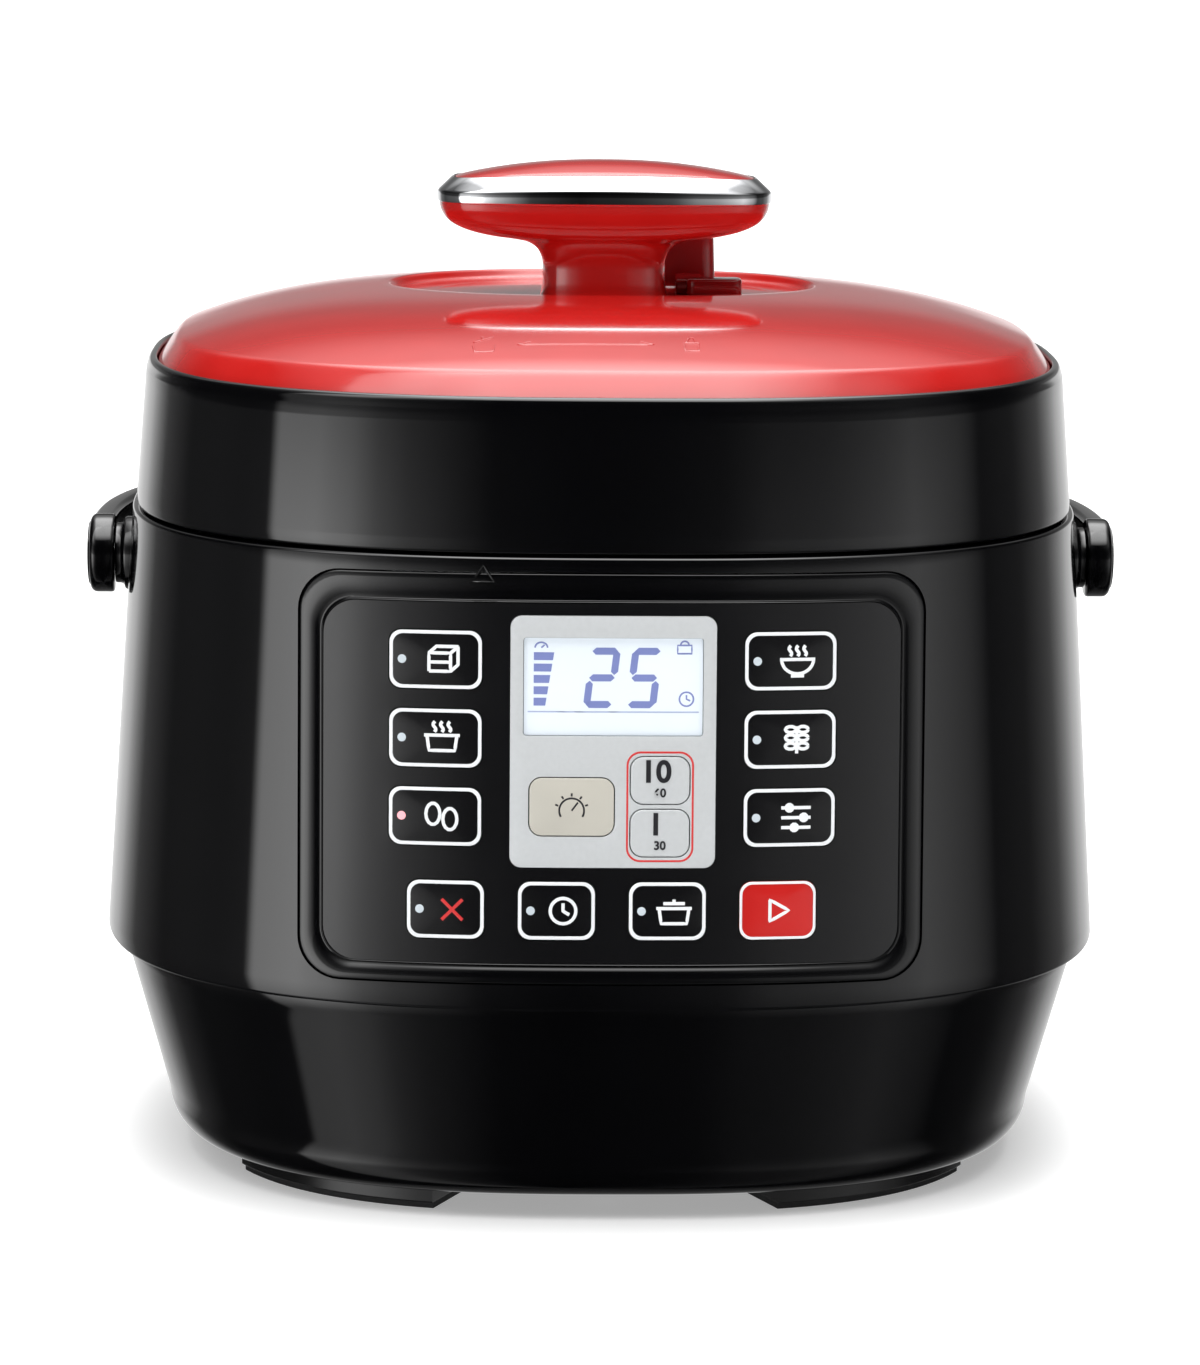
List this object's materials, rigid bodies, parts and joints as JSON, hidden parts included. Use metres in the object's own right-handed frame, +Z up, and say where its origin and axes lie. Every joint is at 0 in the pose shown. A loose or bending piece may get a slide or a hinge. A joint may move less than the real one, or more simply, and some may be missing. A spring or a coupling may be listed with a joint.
{
  "type": "electric pressure cooker",
  "caption": "Countertop electric pressure cooker with rounded-square black housing, red twist-lock lid with bar knob, swing carry handle and front button panel.",
  "frame": {"origin": "on the table under the axis of the inner pot, midway across the body", "axes": "+Z up along the pot's axis, -Y towards the front control panel, +X to the right seen from the front"},
  "size_m": [0.269, 0.2579, 0.2547],
  "materials": {
    "black_gloss": "polished",
    "red_gloss": "polished",
    "chrome_trim": "polished",
    "steel": "brushed",
    "pot_coating": "satin",
    "aluminium": "cast",
    "silicone": "matt",
    "rubber": "matt",
    "panel_black": "satin gloss",
    "silver_plastic": "satin",
    "lcd": "satin",
    "button_beige": "satin",
    "dark_plastic": "moulded",
    "board_green": "satin",
    "light_pipe": "clear",
    "brass": "machined",
    "ceramic": "matt"
  },
  "bodies": {
    "base": {"upper_housing": "black_gloss", "lower_housing": "black_gloss", "base_plate": "dark_plastic", "feet": "black_gloss", "foot_pads": "rubber", "base_screws": "steel", "pot_liner": "steel", "lock_ring": "steel", "heater_plate": "aluminium", "heater_legs": "steel", "heating_element": "steel", "sensor_cup": "steel", "sensor_spring": "steel", "thermal_fuse": "ceramic", "power_board": "board_green", "power_inlet": "dark_plastic", "inlet_pins": "brass", "control_board": "board_green", "switch_bank": "dark_plastic", "light_pipes": "light_pipe", "panel_frame": "black_gloss", "panel_sheet": "panel_black", "lcd_bezel": "silver_plastic", "lcd_glass": "lcd", "lcd_module": "dark_plastic", "pivot_bosses": "black_gloss", "pivot_pins": "steel"},
    "seal": {"gasket": "silicone"},
    "lid": {"lid_ring": "black_gloss", "lid_cover": "red_gloss", "lid_frame": "dark_plastic", "lid_plate": "steel", "plate_screws": "steel", "knob_body": "red_gloss", "knob_trim": "chrome_trim", "knob_cap": "red_gloss", "knob_screws": "steel", "vent_cover": "red_gloss", "vent_pipe": "steel", "safety_valve": "brass"},
    "pot": {"inner_pot": "pot_coating"},
    "bail": {"bail_handle": "black_gloss", "pivot_caps": "black_gloss"},
    "lever": {"release_lever": "red_gloss"},
    "weight": {"pressure_weight": "steel"},
    "float": {"float_pin": "steel"},
    "sensor": {"temp_sensor": "steel"},
    "key_left_top": {"button_left_top": "panel_black"},
    "key_left_middle": {"button_left_middle": "panel_black"},
    "key_left_bottom": {"button_left_bottom": "panel_black"},
    "key_right_top": {"button_right_top": "panel_black"},
    "key_right_middle": {"button_right_middle": "panel_black"},
    "key_right_bottom": {"button_right_bottom": "panel_black"},
    "key_cancel": {"button_cancel": "panel_black"},
    "key_timer": {"button_timer": "panel_black"},
    "key_mode": {"button_mode": "panel_black"},
    "key_start": {"button_start": "red_gloss"},
    "key_pressure": {"button_pressure": "button_beige"},
    "key_ten_minutes": {"button_ten_minutes": "silver_plastic"},
    "key_one_minute": {"button_one_minute": "silver_plastic"}
  },
  "joints": [
    {"name": "lid_lift", "type": "slide", "parent": "base", "child": "seal", "axis": [0, 0, 1], "range_m": [0, 0.3]},
    {"name": "lid_turn", "type": "hinge", "parent": "seal", "child": "lid", "pos_m": [0, 0, 0.168], "axis": [0, 0, -1], "range_deg": [0, 30]},
    {"name": "pot_lift", "type": "slide", "parent": "base", "child": "pot", "axis": [0, 0, 1], "range_m": [0, 0.126]},
    {"name": "bail_swing", "type": "hinge", "parent": "base", "child": "bail", "pos_m": [0, 0, 0.151], "axis": [-1, 0, 0], "range_deg": [-90, 0]},
    {"name": "lever_turn", "type": "hinge", "parent": "lid", "child": "lever", "pos_m": [0.019, 0.033, 0.22], "axis": [0, 0, 1], "range_deg": [0, 30]},
    {"name": "weight_rise", "type": "slide", "parent": "lid", "child": "weight", "axis": [0, 0, 1], "range_m": [0, 0.002]},
    {"name": "float_rise", "type": "slide", "parent": "lid", "child": "float", "axis": [0, 0, 1], "range_m": [0, 0.0027]},
    {"name": "sensor_press", "type": "slide", "parent": "base", "child": "sensor", "axis": [0, 0, -1], "range_m": [0, 0.002], "stiffness_N_per_m": 1500, "springref_m": -0.002, "deforming": ["sensor_spring"]},
    {"name": "press_left_top", "type": "slide", "parent": "base", "child": "key_left_top", "axis": [0, 0.9981, -0.0615], "range_m": [0, 0.0006], "stiffness_N_per_m": 800, "springref_m": -0.0005},
    {"name": "press_left_middle", "type": "slide", "parent": "base", "child": "key_left_middle", "axis": [0, 0.9981, -0.0615], "range_m": [0, 0.0006], "stiffness_N_per_m": 800, "springref_m": -0.0005},
    {"name": "press_left_bottom", "type": "slide", "parent": "base", "child": "key_left_bottom", "axis": [0, 0.9981, -0.0615], "range_m": [0, 0.0006], "stiffness_N_per_m": 800, "springref_m": -0.0005},
    {"name": "press_right_top", "type": "slide", "parent": "base", "child": "key_right_top", "axis": [0, 0.9981, -0.0615], "range_m": [0, 0.0006], "stiffness_N_per_m": 800, "springref_m": -0.0005},
    {"name": "press_right_middle", "type": "slide", "parent": "base", "child": "key_right_middle", "axis": [0, 0.9981, -0.0615], "range_m": [0, 0.0006], "stiffness_N_per_m": 800, "springref_m": -0.0005},
    {"name": "press_right_bottom", "type": "slide", "parent": "base", "child": "key_right_bottom", "axis": [0, 0.9981, -0.0615], "range_m": [0, 0.0006], "stiffness_N_per_m": 800, "springref_m": -0.0005},
    {"name": "press_cancel", "type": "slide", "parent": "base", "child": "key_cancel", "axis": [0, 0.9981, -0.0615], "range_m": [0, 0.0006], "stiffness_N_per_m": 800, "springref_m": -0.0005},
    {"name": "press_timer", "type": "slide", "parent": "base", "child": "key_timer", "axis": [0, 0.9981, -0.0615], "range_m": [0, 0.0006], "stiffness_N_per_m": 800, "springref_m": -0.0005},
    {"name": "press_mode", "type": "slide", "parent": "base", "child": "key_mode", "axis": [0, 0.9981, -0.0615], "range_m": [0, 0.0006], "stiffness_N_per_m": 800, "springref_m": -0.0005},
    {"name": "press_start", "type": "slide", "parent": "base", "child": "key_start", "axis": [0, 0.9981, -0.0615], "range_m": [0, 0.0006], "stiffness_N_per_m": 800, "springref_m": -0.0005},
    {"name": "press_pressure", "type": "slide", "parent": "base", "child": "key_pressure", "axis": [0, 0.9981, -0.0615], "range_m": [0, 0.0006], "stiffness_N_per_m": 800, "springref_m": -0.0005},
    {"name": "press_ten_minutes", "type": "slide", "parent": "base", "child": "key_ten_minutes", "axis": [0, 0.9981, -0.0615], "range_m": [0, 0.0006], "stiffness_N_per_m": 800, "springref_m": -0.0005},
    {"name": "press_one_minute", "type": "slide", "parent": "base", "child": "key_one_minute", "axis": [0, 0.9981, -0.0615], "range_m": [0, 0.0006], "stiffness_N_per_m": 800, "springref_m": -0.0005}
  ],
  "couplings": [
    {"joint": "pot_lift", "follows": "lid_lift", "ratio": 0.42}
  ]
}
